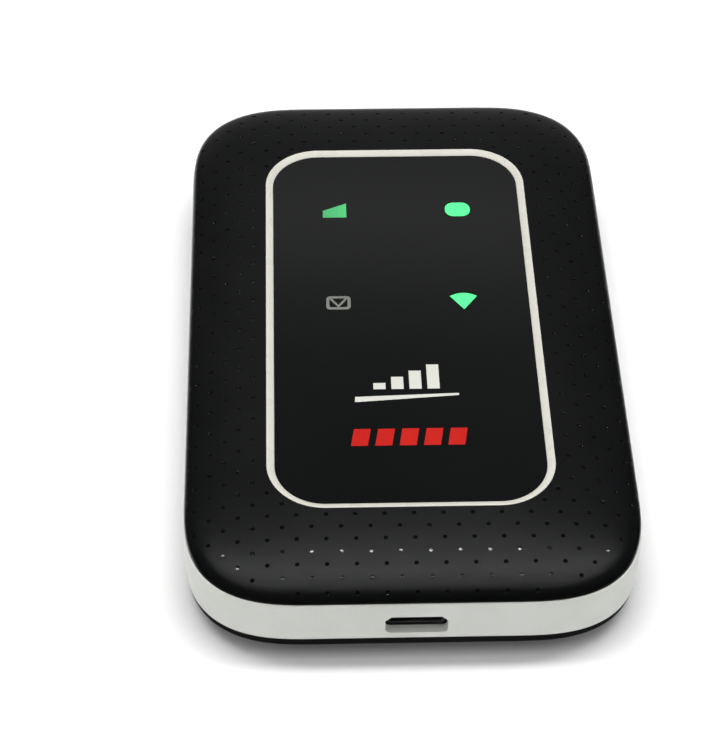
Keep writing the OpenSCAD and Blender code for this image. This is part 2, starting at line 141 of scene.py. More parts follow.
def loft(rings, wrap=False, caps=False):
    """Vertices and faces of a skin through rings of points; wrap joins the last to the first."""
    n, m = len(rings[0]), len(rings)
    faces = []
    for k in range(m if wrap else m - 1):
        a, b = k * n, ((k + 1) % m) * n
        faces += [(a + i, a + (i + 1) % n, b + (i + 1) % n, b + i) for i in range(n)]
    if caps:
        faces.append(tuple(reversed(range(n))))
        faces.append(tuple((m - 1) * n + i for i in range(n)))
    return np.concatenate(rings), faces


def make_piece(name, verts, faces, material, body, replaces=(), sharp=None):
    """A Blender mesh from millimetre points, riding on a CAD body."""
    mesh = bpy.data.meshes.new(name)
    mesh.from_pydata((np.asarray(verts) * MM).tolist(), [], faces)
    mesh.validate()
    for polygon in mesh.polygons:
        polygon.use_smooth = True
    if sharp is not None:
        mesh.set_sharp_from_angle(angle=math.radians(sharp))
    mesh.materials.append(material)
    piece = bpy.data.objects.new(name, mesh)
    bpy.context.scene.collection.objects.link(piece)
    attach(piece, body)
    if replaces:
        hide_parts(*replaces)
    return piece


def sharpen_edges(mesh, *groups):
    """Marks as sharp the edges that touch these vertices and turn by more than SHARP_TURN."""
    chosen = set(np.concatenate([np.ravel(group) for group in groups]).tolist())
    bm = bmesh.new()
    bm.from_mesh(mesh)
    for edge in bm.edges:
        near = any(v.index in chosen for v in edge.verts)
        edge.smooth = not (near and edge.is_manifold and edge.calc_face_angle(0) > SHARP_TURN)
    bm.to_mesh(mesh)
    bm.free()


def cut_with(verts, faces, cutters):
    """The mesh after solid cutters, each (verts, faces), are taken away from it."""

    def scratch(name, v, f):
        mesh = bpy.data.meshes.new(name)
        mesh.from_pydata(np.asarray(v).tolist(), [], f)
        mesh.validate()
        obj = bpy.data.objects.new(name, mesh)
        bpy.context.scene.collection.objects.link(obj)
        return obj

    base = scratch("cut_base", verts, faces)
    tools = [scratch("cut_tool", v, f) for v, f in cutters]
    for tool in tools:
        modifier = base.modifiers.new("cut", "BOOLEAN")
        modifier.operation = "DIFFERENCE"
        modifier.solver = "EXACT"
        modifier.object = tool
    graph = bpy.context.evaluated_depsgraph_get()
    result = bpy.data.meshes.new_from_object(base.evaluated_get(graph))
    out_verts = np.array([v.co[:] for v in result.vertices])
    out_faces = [tuple(p.vertices) for p in result.polygons]
    for obj in [base] + tools:
        bpy.data.objects.remove(obj)
    return out_verts, out_faces


def prism_y(profile, y0, y1):
    """Solid prism along Y of an (x, z) profile that is anticlockwise seen from -Y."""
    near = np.array([[x, y0, z] for x, z in profile])
    far = np.array([[x, y1, z] for x, z in profile])
    return loft([far, near], caps=True)


def pill_profile(w, h, z, steps=14):
    """Outline of a level pill, anticlockwise seen from -Y."""
    r = h / 2
    right = [(w / 2 - r + r * math.cos(a), z + r * math.sin(a))
             for a in np.linspace(-math.pi / 2, math.pi / 2, steps)]
    return right + [(-x, 2 * z - zz) for x, zz in right]


# ---------------------------------------------------------------- materials

class Nodes:
    """Short hand for building a node material."""

    def __init__(self, name):
        self.material = bpy.data.materials.new(name)
        self.material.use_nodes = True
        self.tree = self.material.node_tree
        self.shader = self.tree.nodes["Principled BSDF"]
        self.place = self.add("ShaderNodeTexCoord").outputs["Object"]

    def add(self, kind):
        return self.tree.nodes.new(kind)

    def link(self, source, target):
        self.tree.links.new(source, target)

    def noise(self, scale, detail=3.0, roughness=0.5, stretch=(1, 1, 1)):
        """Noise at a scale in features per metre."""
        mapping = self.add("ShaderNodeMapping")
        mapping.inputs["Scale"].default_value = stretch
        self.link(self.place, mapping.inputs["Vector"])
        noise = self.add("ShaderNodeTexNoise")
        noise.inputs["Scale"].default_value = scale
        noise.inputs["Detail"].default_value = detail
        noise.inputs["Roughness"].default_value = roughness
        self.link(mapping.outputs["Vector"], noise.inputs["Vector"])
        return noise.outputs["Fac"]

    def ramp(self, source, low, high, start=0.35, end=0.65):
        """Colour ramp between two colours."""
        ramp = self.add("ShaderNodeValToRGB")
        ramp.color_ramp.elements[0].position = start
        ramp.color_ramp.elements[1].position = end
        ramp.color_ramp.elements[0].color = (*low, 1)
        ramp.color_ramp.elements[1].color = (*high, 1)
        self.link(source, ramp.inputs["Fac"])
        return ramp.outputs["Color"]

    def spread(self, source, low, high):
        """Maps 0.3..0.7 of a pattern to a range of values."""
        spread = self.add("ShaderNodeMapRange")
        spread.inputs["From Min"].default_value = 0.3
        spread.inputs["From Max"].default_value = 0.7
        spread.inputs["To Min"].default_value = low
        spread.inputs["To Max"].default_value = high
        self.link(source, spread.inputs["Value"])
        return spread.outputs["Result"]

    def bump(self, source, height, strength=1.0):
        """Bump of a pattern, its height in metres."""
        bump = self.add("ShaderNodeBump")
        bump.inputs["Strength"].default_value = strength
        bump.inputs["Distance"].default_value = height
        self.link(source, bump.inputs["Height"])
        self.link(bump.outputs["Normal"], self.shader.inputs["Normal"])

    def set(self, **values):
        """Sets numbers on the shader's own sockets, such as Emission_Strength=1."""
        for key, value in values.items():
            self.shader.inputs[key.replace("_", " ")].default_value = value

    def bands(self, direction, scale):
        """Straight even bands across a direction."""
        waves = self.add("ShaderNodeTexWave")
        waves.wave_type = "BANDS"
        waves.bands_direction = direction
        waves.inputs["Scale"].default_value = scale
        waves.inputs["Distortion"].default_value = 0
        self.link(self.place, waves.inputs["Vector"])
        return waves.outputs["Fac"]


def plastic(name, low, high, rough, grain=9000, grain_height=1.2e-6, blotch=90, specular=0.5):
    """Moulded plastic: mottled colour, even (one number) or uneven polish, and a fine grain."""
    n = Nodes(name)
    patches = n.noise(blotch, detail=4)
    n.link(n.ramp(patches, low, high), n.shader.inputs["Base Color"])
    if isinstance(rough, tuple):
        n.link(n.spread(n.noise(blotch * 6, detail=5), *rough), n.shader.inputs["Roughness"])
    else:
        n.set(Roughness=rough)
    n.bump(n.noise(grain, detail=2), grain_height)
    n.set(Specular_IOR_Level=specular)
    return n.material


def metal(name, low, high, rough, stretch=(1, 14, 14), grain=2500, grain_height=4e-7):
    """Sheet metal with a fine drawn grain."""
    n = Nodes(name)
    n.set(Metallic=1.0)
    drawn = n.noise(grain, detail=4, stretch=stretch)
    n.link(n.ramp(drawn, low, high, 0.3, 0.7), n.shader.inputs["Base Color"])
    n.link(n.spread(n.noise(400, detail=4), *rough), n.shader.inputs["Roughness"])
    n.bump(drawn, grain_height)
    return n.material


def lit(name, near, far, strength):
    """Back-lit print, dimmer toward the left where the light behind it is further off."""
    n = Nodes(name)
    split = n.add("ShaderNodeSeparateXYZ")
    n.link(n.place, split.inputs["Vector"])
    across = n.add("ShaderNodeMapRange")
    across.inputs["From Min"].default_value = ICONS_LEFT * MM
    across.inputs["From Max"].default_value = ICONS_RIGHT * MM
    n.link(split.outputs["X"], across.inputs["Value"])
    glow = n.ramp(across.outputs["Result"], far, near, 0.0, 1.0)
    n.link(glow, n.shader.inputs["Base Color"])
    n.link(glow, n.shader.inputs["Emission Color"])
    n.set(Emission_Strength=strength, Roughness=0.35)
    n.bump(n.noise(6000), 5e-7)
    return n.material


def circuit_board(name):
    """Green solder mask over darker copper areas, with a weave of fine tracks."""
    n = Nodes(name)
    tracks = n.add("ShaderNodeTexBrick")
    n.link(n.place, tracks.inputs["Vector"])
    tracks.inputs["Scale"].default_value = 420
    tracks.inputs["Color1"].default_value = (0.010, 0.115, 0.055, 1)
    tracks.inputs["Color2"].default_value = (0.007, 0.085, 0.040, 1)
    tracks.inputs["Mortar"].default_value = (0.030, 0.210, 0.100, 1)
    tracks.inputs["Mortar Size"].default_value = 0.06
    n.link(tracks.outputs["Color"], n.shader.inputs["Base Color"])
    n.link(n.spread(n.noise(300), 0.25, 0.4), n.shader.inputs["Roughness"])
    n.bump(tracks.outputs["Fac"], 1.5e-5, 0.5)
    return n.material


def printed_label(name, paper, ink):
    """Blank label with a few generic ruled bands."""
    n = Nodes(name)
    n.link(n.ramp(n.bands("Y", 52), paper, ink, 0.93, 0.96), n.shader.inputs["Base Color"])
    n.link(n.spread(n.noise(900), 0.45, 0.6), n.shader.inputs["Roughness"])
    n.bump(n.noise(5000), 1e-6)
    return n.material


def shell_plastic():
    """Black satin plastic of the top shell, evenly polished."""
    return plastic(
        "shell_black_satin", (0.0026, 0.0028, 0.0031), (0.0038, 0.0040, 0.0044),
        0.28, grain=2200, grain_height=2.5e-7, specular=0.5,
    )


def band_plastic():
    """Off-white plastic with hairline rows across its moulded ribs."""
    n = Nodes("band_off_white")
    n.link(
        n.ramp(n.noise(120, detail=4), (0.72, 0.735, 0.69), (0.765, 0.78, 0.735)),
        n.shader.inputs["Base Color"],
    )
    n.link(n.spread(n.noise(900), 0.42, 0.55), n.shader.inputs["Roughness"])
    n.bump(n.bands("Z", 850), 6e-6, 0.6)
    return n.material


def ring_plastic():
    """Pearly ivory plastic of the ring."""
    n = Nodes("ring_ivory_pearl")
    n.link(
        n.ramp(n.noise(150, detail=3), (0.575, 0.560, 0.500), (0.600, 0.585, 0.525)),
        n.shader.inputs["Base Color"],
    )
    n.link(n.spread(n.noise(300, detail=1), 0.26, 0.32), n.shader.inputs["Roughness"])
    n.bump(n.noise(1500, detail=1), 1.5e-7)
    return n.material


def window_acrylic():
    """Glossy black acrylic with the faintest unevenness."""
    n = Nodes("window_black_gloss")
    n.link(
        n.ramp(n.noise(40, detail=2), (0.0030, 0.0033, 0.0035), (0.0038, 0.0041, 0.0043)),
        n.shader.inputs["Base Color"],
    )
    n.set(Roughness=0.07)
    n.bump(n.noise(60, detail=1), 4e-6, 0.4)
    return n.material


def make_materials():
    """Every material by the slot that it finishes."""
    return {
        "shell_black": shell_plastic(),
        "dimple_gloss": plastic(
            "dimple_polished", (0.0022, 0.0023, 0.0025), (0.0030, 0.0031, 0.0034), 0.045,
            grain=3000, grain_height=1e-8, specular=0.65,
        ),
        "ring_ivory": ring_plastic(),
        "window_black": window_acrylic(),
        "adhesive_grey": plastic("adhesive_foam", (0.08, 0.08, 0.08), (0.12, 0.12, 0.12), (0.7, 0.9)),
        "film_white": plastic("diffuser_milk", (0.78, 0.78, 0.75), (0.86, 0.86, 0.83), (0.5, 0.6)),
        "icon_green": lit("icon_green_lit", (0.068, 0.72, 0.21), (0.048, 0.26, 0.10), 0.55),
        "icon_grey": plastic("icon_grey_ink", (0.15, 0.16, 0.14), (0.20, 0.21, 0.19), (0.4, 0.5)),
        "print_white": plastic(
            "print_white_ink", (0.54, 0.54, 0.49), (0.58, 0.58, 0.53), (0.4, 0.5), specular=0.3,
        ),
        "print_red": plastic(
            "print_red_ink", (0.42, 0.012, 0.009), (0.47, 0.015, 0.011), (0.4, 0.5), specular=0.1,
        ),
        "shroud_black": plastic("shroud_matt", (0.012, 0.012, 0.012), (0.02, 0.02, 0.02), (0.6, 0.7)),
        "led_cream": plastic("led_package", (0.72, 0.70, 0.52), (0.82, 0.80, 0.62), (0.2, 0.3)),
        "band_white": band_plastic(),
        "button_white": plastic("button_off_white", (0.58, 0.585, 0.545), (0.64, 0.645, 0.605), (0.3, 0.4)),
        "switch_steel": metal("switch_plated", (0.52, 0.53, 0.54), (0.66, 0.67, 0.68), (0.22, 0.32)),
        "board_green": circuit_board("board_solder_mask"),
        "shield_tin": metal("tinned_steel", (0.50, 0.51, 0.52), (0.62, 0.63, 0.64), (0.26, 0.38)),
        "chip_black": plastic("chip_moulding", (0.016, 0.016, 0.018), (0.03, 0.03, 0.033), (0.45, 0.6)),
        # Socket steel: its colour is darkened far below the other steels, as painted shade for the dark
        # inside of the socket
        "port_steel": metal("port_steel_painted_shade", (0.14, 0.145, 0.15), (0.20, 0.205, 0.21), (0.3, 0.4)),
        "tongue_black": plastic("tongue_moulding", (0.01, 0.01, 0.01), (0.016, 0.016, 0.016), (0.4, 0.5)),
        "contact_gold": metal("gold_plate", (0.80, 0.56, 0.20), (0.90, 0.68, 0.30), (0.18, 0.28)),
        "antenna_copper": metal("antenna_copper", (0.62, 0.34, 0.17), (0.78, 0.46, 0.25), (0.25, 0.38)),
        "housing_black": plastic(
            "housing_black_matt", (0.016, 0.016, 0.017), (0.024, 0.024, 0.025), (0.5, 0.62),
        ),
        "screw_steel": metal("screw_zinc", (0.40, 0.41, 0.43), (0.56, 0.57, 0.59), (0.25, 0.4)),
        "label_white": printed_label("rating_label", (0.76, 0.76, 0.74), (0.34, 0.34, 0.35)),
        "sim_white": plastic("sim_plastic", (0.76, 0.76, 0.74), (0.84, 0.84, 0.82), (0.25, 0.35)),
        "battery_black": plastic("battery_case", (0.022, 0.023, 0.025), (0.034, 0.035, 0.038), (0.4, 0.5)),
        "label_grey": printed_label("battery_wrap", (0.16, 0.17, 0.18), (0.42, 0.43, 0.44)),
        "reset_red": plastic("reset_button_red", (0.36, 0.035, 0.035), (0.46, 0.05, 0.05), (0.35, 0.45)),
        "pairing_blue": plastic("pairing_button_blue", (0.07, 0.16, 0.31), (0.11, 0.22, 0.40), (0.35, 0.45)),
        "cover_black": plastic(
            "cover_black_satin", (0.0085, 0.0085, 0.0090), (0.0115, 0.0115, 0.0120), (0.38, 0.46),
            grain=5200, grain_height=4e-6,
        ),
    }


MATERIALS = make_materials()


def dress_cad_nodes():
    """Gives every CAD node its slot's material."""
    for row in frame["record"]["subparts"]:
        obj = frame["nodes"][row["node"]]
        obj.data.materials.clear()
        obj.data.materials.append(MATERIALS[row["material_slot"]])


# Rounding of moulded and stamped parts' edges, in millimetres; those not named here get FINE_EDGE
FINE_EDGE = 0.06
EDGE_TURN = math.radians(30)
SHADING_TURN = math.radians(35)
SOFT_EDGES = {
    "power_button": 0.3,
    "battery_pack": 0.5,
    "rear_housing": 0.15,
    "sim_card": 0.1,
    "reset_button": 0.2,
    "pairing_button": 0.2,
    "processor_shield": 0.15,
    "radio_shield": 0.15,
    "light_shroud": 0.15,
}
# Nodes that get a mesh of their own, and thin parts that stay as they are
OWN_MESH = ["top_shell", "bezel_ring", "side_band", "rear_cover"]
LEFT_PLAIN = [
    "display_window", "window_adhesive", "diffuser_film", "icon_signal", "icon_battery",
    "icon_message", "icon_wireless", "print_white", "print_red", "rating_label", "battery_label",
]


def soften_cad_parts():
    """Copies of the CAD parts with rounded edges stand in for them."""
    for row in frame["record"]["subparts"]:
        node = row["node"]
        if node in OWN_MESH or node in LEFT_PLAIN:
            continue
        source = frame["nodes"][node]
        bm = bmesh.new()
        bm.from_mesh(source.data)
        bm.transform(source.matrix_world)
        bmesh.ops.remove_doubles(bm, verts=bm.verts, dist=1e-7)
        bmesh.ops.dissolve_limit(bm, angle_limit=math.radians(1), verts=bm.verts, edges=bm.edges)
        sharp = [e for e in bm.edges if e.is_manifold and e.calc_face_angle(0) > EDGE_TURN]
        width = SOFT_EDGES.get(node, FINE_EDGE) * MM
        bmesh.ops.bevel(
            bm, geom=sharp, offset=width, segments=2, profile=0.5, affect="EDGES", clamp_overlap=True
        )
        mesh = bpy.data.meshes.new(node + "_soft")
        bm.to_mesh(mesh)
        bm.free()
        for polygon in mesh.polygons:
            polygon.use_smooth = True
        mesh.set_sharp_from_angle(angle=SHADING_TURN)
        mesh.materials.append(MATERIALS[row["material_slot"]])
        piece = bpy.data.objects.new(node + "_soft", mesh)
        bpy.context.scene.collection.objects.link(piece)
        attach(piece, source["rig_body"])
        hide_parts(node)


# ---------------------------------------------------------------- top shell

# Dimples: staggered rows, each a shallow pit with a flat polished floor
DIMPLE_PITCH = 3.869
DIMPLE_ROW = DIMPLE_PITCH / 2
DIMPLE_FIRST = 0.553
DIMPLE_R = 0.32
DIMPLE_DEPTH = 0.11
DIMPLE_SIDES = 14
DIMPLE_TILT = 0.0022
# The face's filling points keep this many dimple radii away from every dimple's centre
FILLER_CLEARANCE = 2.3
# A dimple's polish starts at the first share of its depth, and its flat floor at the second
POLISH_SHARE = 0.1
FLOOR_SHARE = 0.9
# Radius and depth of each ring of a dimple's points, as shares of the two sizes above
DIMPLE_RINGS = [(0, 1), (0.62, 1), (0.78, 1), (0.88, 0.7), (0.96, 0.22), (1.02, 0.04), (1.14, 0), (1.9, 0)]
# Nearest that a dimple's centre comes to the lip and to the ring
LIP_MARGIN = 0.40
RING_MARGIN = 0.50
# Shares of the way from lip to ring: the rounded lip's rows, the face's first row, the points
# that fill the face between dimples, and the hollow's rows from the ring back to the lip
LIP_STEPS = [0, 1e-5, 8e-5, 3e-4, 8e-4, 0.0018, 0.0034, 0.006, 0.0095]
EDGE_LIMIT = 0.014
FACE_STEPS = [0.024, 0.04, 0.065, 0.1, 0.15, 0.22, 0.31, 0.42, 0.55, 0.7, 0.85]
INNER_STEPS = [1.0, 0.6, 0.25, 0.06, 0.01, 0.0]


def shell_outline(t):
    """Outline of the top shell, t of the way from its lip to the ring."""
    return outline(
        SHELL_W + (RING_W - SHELL_W) * t,
        SHELL_L + (RING_L - SHELL_L) * t,
        CORNER_R + (RING_R - CORNER_R) * t,
        CORNER_POWER + (2 - CORNER_POWER) * t,
    )


def shell_rise_at(t):
    """Height of the shell's face, t of the way from its lip to the ring."""
    return LIP_Z + SHELL_RISE * np.asarray(t, float) ** (1 / EDGE_SHARPNESS)


def shell_share(points):
    """How far from lip (0) to ring (1) plan points lie, by bisection on the outlines."""
    x, y = np.abs(points[:, 0]), np.abs(points[:, 1])
    low, high = np.zeros(len(points)), np.full(len(points), 1.3)
    for _ in range(40):
        t = (low + high) / 2
        r = CORNER_R + (RING_R - CORNER_R) * t
        power = CORNER_POWER + (2 - CORNER_POWER) * t
        dx = (x - (SHELL_W + (RING_W - SHELL_W) * t) / 2 + r).clip(0) / r
        dy = (y - (SHELL_L + (RING_L - SHELL_L) * t) / 2 + r).clip(0) / r
        outside = dx ** power + dy ** power > 1
        high = np.where(outside, t, high)
        low = np.where(outside, low, t)
    return (low + high) / 2


def shell_surface(points):
    """Heights and outward normals of the shell's smooth face above plan points."""
    step = 0.004
    z = shell_rise_at(shell_share(points))
    slope_x = (shell_rise_at(shell_share(points + [step, 0])) - z) / step
    slope_y = (shell_rise_at(shell_share(points + [0, step])) - z) / step
    normals = np.column_stack([-slope_x, -slope_y, np.ones(len(points))])
    return z, normals / np.linalg.norm(normals, axis=1)[:, None]


def dimple_centres():
    """Staggered rows of dimples over the margin between lip and ring."""
    rows = int(SHELL_L / DIMPLE_ROW)
    columns = int(SHELL_W / DIMPLE_PITCH) // 2 + 1
    first = -SHELL_L / 2 + DIMPLE_FIRST
    centres = []
    for row in range(rows):
        shift = DIMPLE_ROW if row % 2 else 0.0
        for column in range(-columns, columns + 1):
            centres.append([column * DIMPLE_PITCH + shift, first + row * DIMPLE_ROW])
    centres = np.array(centres)
    share = shell_share(centres)
    margin = (SHELL_W - RING_W) / 2
    return centres[(share > LIP_MARGIN / margin) & (share < 1 - RING_MARGIN / margin)]


def dimple_points(centres):
    """Plan point and depth of every dimple vertex; floors tilt by a hair, as moulded ones do."""
    rng = np.random.default_rng(7)
    _, normals = shell_surface(centres)
    points, depths = [], []
    for centre, normal in zip(centres, normals):
        u = np.cross(normal, [0, 1, 0])
        u /= np.linalg.norm(u)
        v = np.cross(normal, u)
        tilt = rng.uniform(-DIMPLE_TILT, DIMPLE_TILT, 2)
        for radius, depth in DIMPLE_RINGS:
            sides = 1 if radius == 0 else DIMPLE_SIDES
            for k in range(sides):
                a = 2 * math.pi * k / sides
                offset = DIMPLE_R * radius * np.array([math.cos(a), math.sin(a)])
                points.append(centre + (offset[0] * u + offset[1] * v)[:2])
                depths.append(DIMPLE_DEPTH * depth + depth * (offset @ tilt))
    return np.array(points), np.array(depths)


def top_face():
    """The dimpled face between the edge rounding and the ring: points, depths and triangles."""
    edge_loop, ring_loop = shell_outline(EDGE_LIMIT), shell_outline(1.0)
    n = len(edge_loop)
    centres = dimple_centres()
    pits, pit_depths = dimple_points(centres)
    filler = np.concatenate([shell_outline(t) for t in FACE_STEPS])
    nearest = np.full(len(filler), np.inf)
    for centre in centres:
        nearest = np.minimum(nearest, np.linalg.norm(filler - centre, axis=1))
    filler = filler[nearest > DIMPLE_R * FILLER_CLEARANCE]
    share = shell_share(pits)
    keep = (share > EDGE_LIMIT * 1.25) & (share < 0.995)
    pits, pit_depths = pits[keep], pit_depths[keep]

    points = np.concatenate([edge_loop, ring_loop, pits, filler])
    depths = np.concatenate([np.zeros(2 * n), pit_depths, np.zeros(len(filler))])
    edges = [(i, (i + 1) % n) for i in range(n)] + [(n + i, n + (i + 1) % n) for i in range(n)]
    result = geometry.delaunay_2d_cdt([Vector(p) for p in points], edges, [], 0, 1e-7)
    out, triangles, sources = result[0], result[2], result[3]
    plan = np.array([p[:] for p in out])
    sunk = np.array([depths[source[0]] if source else 0.0 for source in sources])
    middles = np.array([plan[list(t)].mean(0) for t in triangles])
    triangles = [t for t, share in zip(triangles, shell_share(middles)) if share < 0.9999]
    z, normals = shell_surface(plan)
    verts = np.column_stack([plan, z]) - normals * sunk[:, None]
    place = {k: i for i, source in enumerate(sources) for k in source if k < 2 * n}
    order = [place[k] for k in range(2 * n)]
    return verts, sunk, triangles, order[:n], order[n:]


def set_shell_normals(mesh, face, sunk, top_count, ring_loop):
    """Shades the smooth face by its formula and each dimple's floor as flat."""
    normals = np.array([corner.vector for corner in mesh.corner_normals])
    _, exact = shell_surface(face[:, :2])
    smooth = sunk == 0
    at_ring = set(ring_loop)
    for polygon in mesh.polygons:
        corners = list(polygon.vertices)
        on_top = polygon.index < top_count
        floor = on_top and all(sunk[i] > FLOOR_SHARE * DIMPLE_DEPTH for i in corners)
        for loop, i in zip(polygon.loop_indices, corners):
            if floor:
                normals[loop] = polygon.normal
            elif i < len(sunk) and smooth[i] and (on_top or i not in at_ring):
                normals[loop] = exact[i]
    mesh.normals_split_custom_set(normals.tolist())


def build_top_shell():
    """Black shell: rounded lip, dimpled face, and a hollow inside that opens under the window."""
    face, sunk, triangles, edge_loop, ring_loop = top_face()
    face[edge_loop, 2] = shell_rise_at(EDGE_LIMIT)
    face[ring_loop, 2] = RING_TOP
    lip = [at_height(shell_outline(t), shell_rise_at(t)) for t in LIP_STEPS]
    opening_z = WINDOW_LOW[2]
    inner = []
    for t in INNER_STEPS:
        plan = outline(
            SHELL_W - 2 * SHELL_WALL + (RING_W - SHELL_W + 2 * SHELL_WALL) * t,
            SHELL_L - 2 * SHELL_WALL + (RING_L - SHELL_L + 2 * SHELL_WALL) * t,
            CORNER_R - SHELL_WALL + (RING_R - CORNER_R + SHELL_WALL) * t,
            CORNER_POWER + (2 - CORNER_POWER) * t,
        )
        inner.append(at_height(plan, LIP_Z + (opening_z - LIP_Z) * t ** (1 / EDGE_SHARPNESS)))
    n = len(lip[0])
    verts, faces = list(face), [tuple(t) for t in triangles]

    def strip(a, b):
        faces.extend((a[i], a[(i + 1) % n], b[(i + 1) % n], b[i]) for i in range(n))

    def append(ring):
        start = len(verts)
        verts.extend(ring)
        return list(range(start, start + n))

    loops = [append(ring) for ring in lip]
    for a, b in zip(loops, loops[1:] + [edge_loop]):
        strip(a, b)
    inner_loops = [append(ring) for ring in inner]
    strip(ring_loop, inner_loops[0])
    for a, b in zip(inner_loops, inner_loops[1:] + [loops[0]]):
        strip(a, b)
    shell = make_piece(
        "top_shell_dimpled", verts, faces, MATERIALS["shell_black"],
        "chassis", replaces=["top_shell"],
    )
    shell.data.materials.append(MATERIALS["dimple_gloss"])
    pit = {i for i, depth in enumerate(sunk) if depth > POLISH_SHARE * DIMPLE_DEPTH}
    for polygon in shell.data.polygons:
        if pit.issuperset(polygon.vertices):
            polygon.material_index = 1
    sharpen_edges(shell.data, ring_loop, inner_loops)
    set_shell_normals(shell.data, np.array(face), sunk, len(triangles), ring_loop)


# ---------------------------------------------------------------- ring and band

RING_CROWN = 0.16
# The ring's face starts to slope this share of the way in, and ends a little under the window
SLOPE_START = 0.17
SLOPE_POWER = 1.15
SLOPE_STEPS = (0.22, 0.35, 0.5, 0.65, 0.8, 0.93)
RING_RECESS = 0.03


def build_bezel_ring():
    """Ivory ring: a soft outer crown, then a face that slopes down to the window."""
    bottom = RING_LOW[2]
    inner_w, inner_l, inner_r = RING_W - 2 * BEVEL_W, RING_L - 2 * BEVEL_W, RING_R - BEVEL_W
    drop = RING_TOP - WINDOW_TOP
    rings = [at_height(outline(RING_W, RING_L, RING_R), bottom)]
    for a in np.linspace(0, math.pi / 2, 5):
        inset = RING_CROWN * (1 - math.cos(a))
        rings.append(at_height(
            outline(RING_W - 2 * inset, RING_L - 2 * inset, RING_R - inset),
            RING_TOP - RING_CROWN * (1 - math.sin(a)),
        ))
    for share in SLOPE_STEPS:
        inset = BEVEL_W * share
        depth = drop * ((share - SLOPE_START) / (1 - SLOPE_START)) ** SLOPE_POWER
        rings.append(at_height(
            outline(RING_W - 2 * inset, RING_L - 2 * inset, RING_R - inset), RING_TOP - depth
        ))
    rings.append(at_height(outline(inner_w, inner_l, inner_r), WINDOW_TOP - RING_RECESS))
    rings.append(at_height(outline(inner_w, inner_l, inner_r), bottom))
    verts, faces = loft(rings, wrap=True)
    make_piece(
        "bezel_ring_bevelled", verts, faces, MATERIALS["ring_ivory"],
        "chassis", replaces=["bezel_ring"], sharp=50,
    )


RIB_PITCH = 0.37
RIB_DEPTH = 0.009
POINTS_PER_RIB = 4
BAND_EDGE = 0.32
PORT_W = 8.2
PORT_H = 3.2
PORT_CHAMFER = 0.9
PORT_FOOT = 0.7
BUTTON_W = 8.7
BUTTON_H = 2.3
BUTTON_GAP = 0.15
BUTTON_Z_SHIFT = 0.15
DISH_R = 22.0
DISH_DEPTH = 0.25
DISH_HALF_H = 2.6
DISH_HALF_TURN = 0.2


def ribbed(points):
    """An outline at even steps, its outward directions and how far fine ribs press it in."""
    closed = np.vstack([points, points[:1]])
    lengths = np.r_[0, np.cumsum(np.linalg.norm(np.diff(closed, axis=0), axis=1))]
    ribs = int(round(lengths[-1] / RIB_PITCH))
    at = np.linspace(0, lengths[-1], ribs * POINTS_PER_RIB + 1)[:-1]
    even = np.column_stack([np.interp(at, lengths, closed[:, k]) for k in (0, 1)])
    ahead, behind = np.roll(even, -1, 0), np.roll(even, 1, 0)
    along = ahead - behind
    outward = np.column_stack([along[:, 1], -along[:, 0]])
    outward /= np.linalg.norm(outward, axis=1)[:, None]
    phase = 2 * math.pi * ribs * at / lengths[-1]
    return even, outward, RIB_DEPTH * (0.5 - 0.5 * np.cos(phase))


def port_profile():
    """Outline of the socket's opening: round feet, chamfered shoulders."""
    half_w, half_h = PORT_W / 2, PORT_H / 2
    foot_x, foot_z = half_w - PORT_FOOT, PORT_Z - half_h + PORT_FOOT
    arc = np.linspace(-math.pi / 2, 0, 8)
    right = [(foot_x + PORT_FOOT * math.cos(a), foot_z + PORT_FOOT * math.sin(a)) for a in arc]
    shoulder = [
        (half_w, PORT_Z + half_h - PORT_CHAMFER),
        (half_w - 0.04, PORT_Z + half_h - PORT_CHAMFER + 0.14),
        (half_w - PORT_CHAMFER + 0.14, PORT_Z + half_h - 0.04),
        (half_w - PORT_CHAMFER, PORT_Z + half_h),
    ]
    right += shoulder
    return right + [(-x, z) for x, z in reversed(right)]


def build_side_band():
    """Off-white band: rounded edges, fine ribs, the socket's opening and the button's dish."""
    base = outline(BAND_W, BAND_L, CORNER_R, CORNER_POWER, scale=4)
    even, outward, press = ribbed(base)
    rings = []
    for a in np.linspace(0, math.pi / 2, 7):
        inset = BAND_EDGE * (1 - math.sin(a))
        rings.append((inset, BAND_LOW[2] + BAND_EDGE * (1 - math.cos(a)), 1.0 if a > 0 else 0.0))
    rings += [(inset, BAND_LOW[2] + BAND_HIGH[2] - z, share) for inset, z, share in reversed(rings)]
    rings += [(BAND_WALL, BAND_HIGH[2], 0.0), (BAND_WALL, BAND_LOW[2], 0.0)]
    skins = [
        at_height(even - outward * (inset + press * share)[:, None], z) for inset, z, share in rings
    ]
    verts, faces = loft(skins, wrap=True)
    port = port_profile()
    front = BAND_LOW[1]
    button_z = (BUTTON_LOW[2] + BUTTON_HIGH[2]) / 2 + BUTTON_Z_SHIFT
    pill = pill_profile(BUTTON_W + 2 * BUTTON_GAP, BUTTON_H + 2 * BUTTON_GAP, button_z)
    back = BAND_HIGH[1]
    arc = [(DISH_R * math.sin(a), back + DISH_R - DISH_DEPTH - DISH_R * math.cos(a))
           for a in np.linspace(-DISH_HALF_TURN, DISH_HALF_TURN, 41)]
    dish_plan = arc + [(arc[-1][0], back + 2), (arc[0][0], back + 2)]
    dish = loft([at_height(np.array(dish_plan), button_z + s * DISH_HALF_H) for s in (-1, 1)], caps=True)
    verts, faces = cut_with(verts, faces, [
        prism_y(port, front - 1, front + 3), prism_y(pill, back - 3, back + 1), dish,
    ])
    make_piece(
        "side_band_ribbed", verts, faces, MATERIALS["band_white"],
        "chassis", replaces=["side_band"], sharp=40,
    )


# ---------------------------------------------------------------- rear cover

